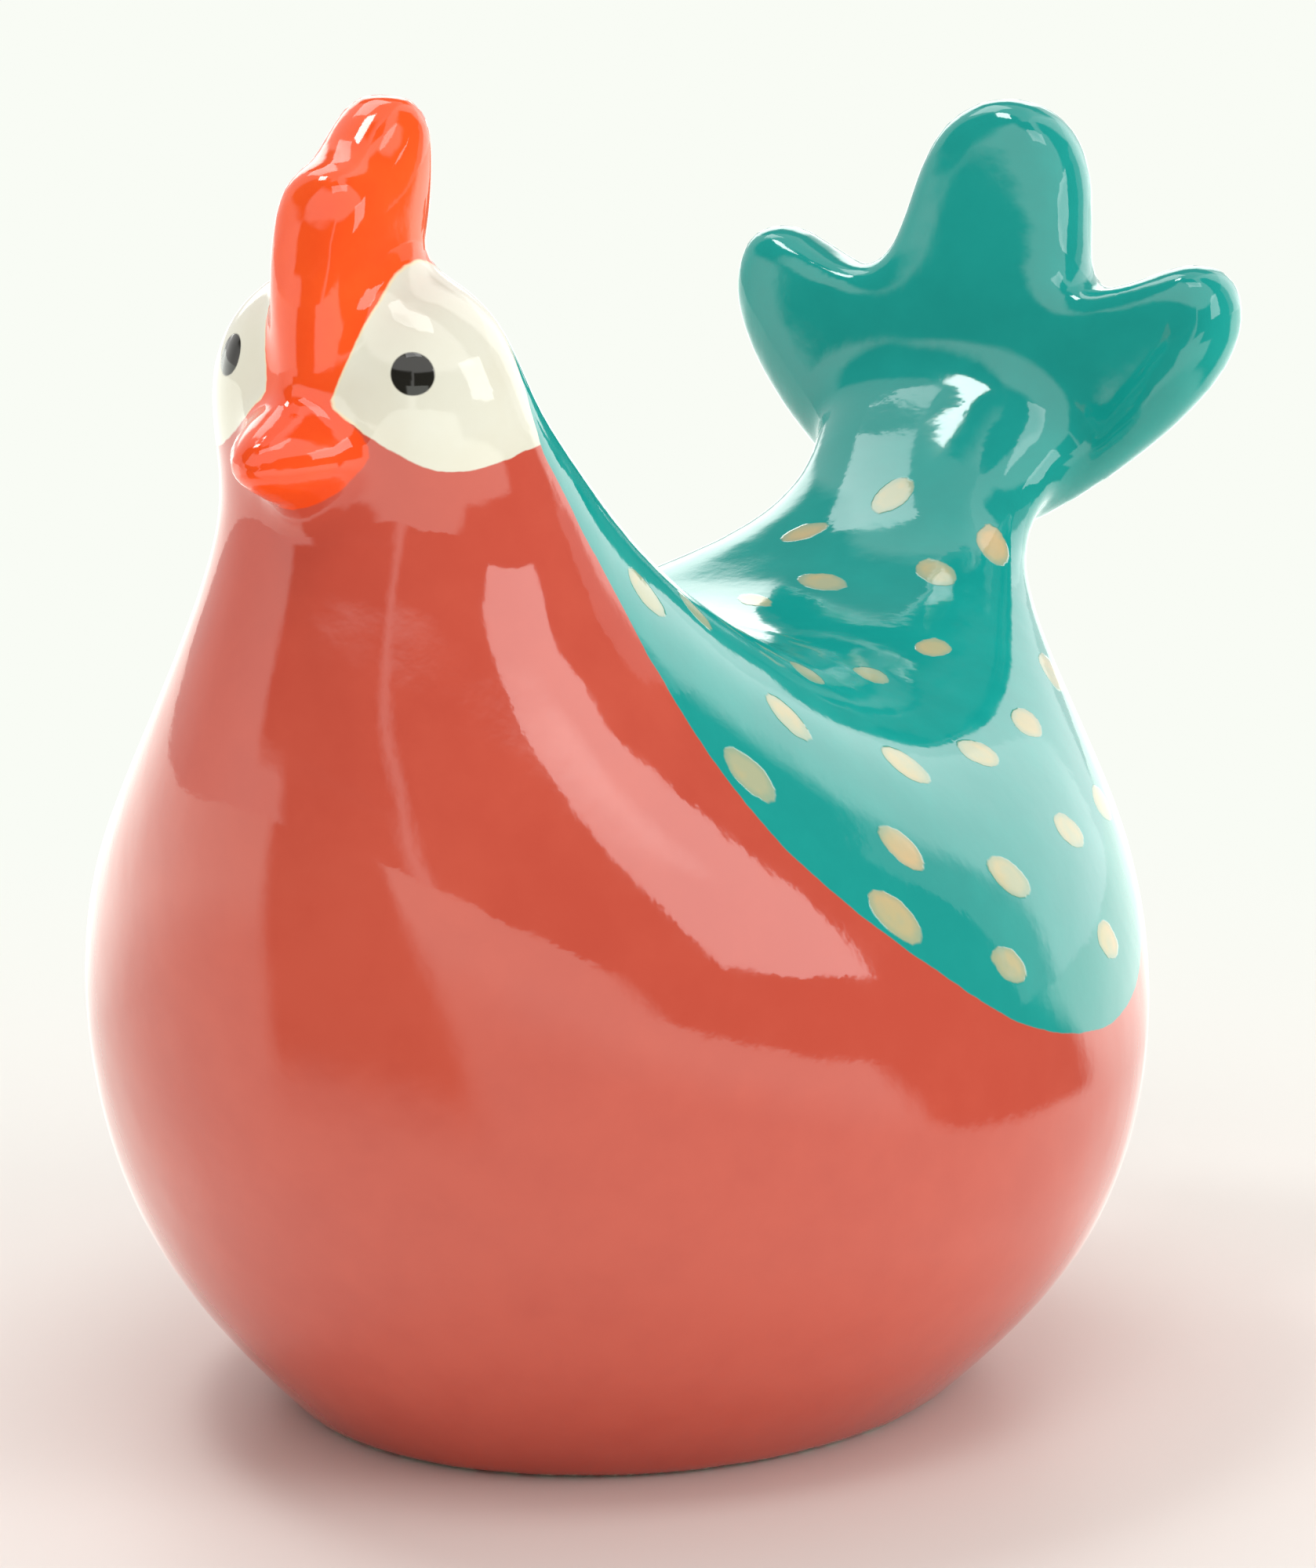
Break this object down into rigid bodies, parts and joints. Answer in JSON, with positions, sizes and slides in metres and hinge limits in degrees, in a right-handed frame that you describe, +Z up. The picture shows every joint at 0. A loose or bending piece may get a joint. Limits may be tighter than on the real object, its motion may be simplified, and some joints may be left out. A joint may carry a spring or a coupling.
{
  "type": "hen figurine",
  "caption": "Hollow glazed earthenware hen with a two-lobed comb, a short beak and a three-lobed tail fan, standing on a flat foot with a pour hole.",
  "frame": {"origin": "at the centre of the flat underside of the foot", "axes": "+Z up; the hen faces -Y and its left side is +X"},
  "size_m": [0.0768, 0.1177, 0.1042],
  "materials": {
    "coral_glaze": "glossy transparent glaze over painted colour fields"
  },
  "bodies": {
    "root": {"hen": "coral_glaze"}
  },
  "joints": []
}
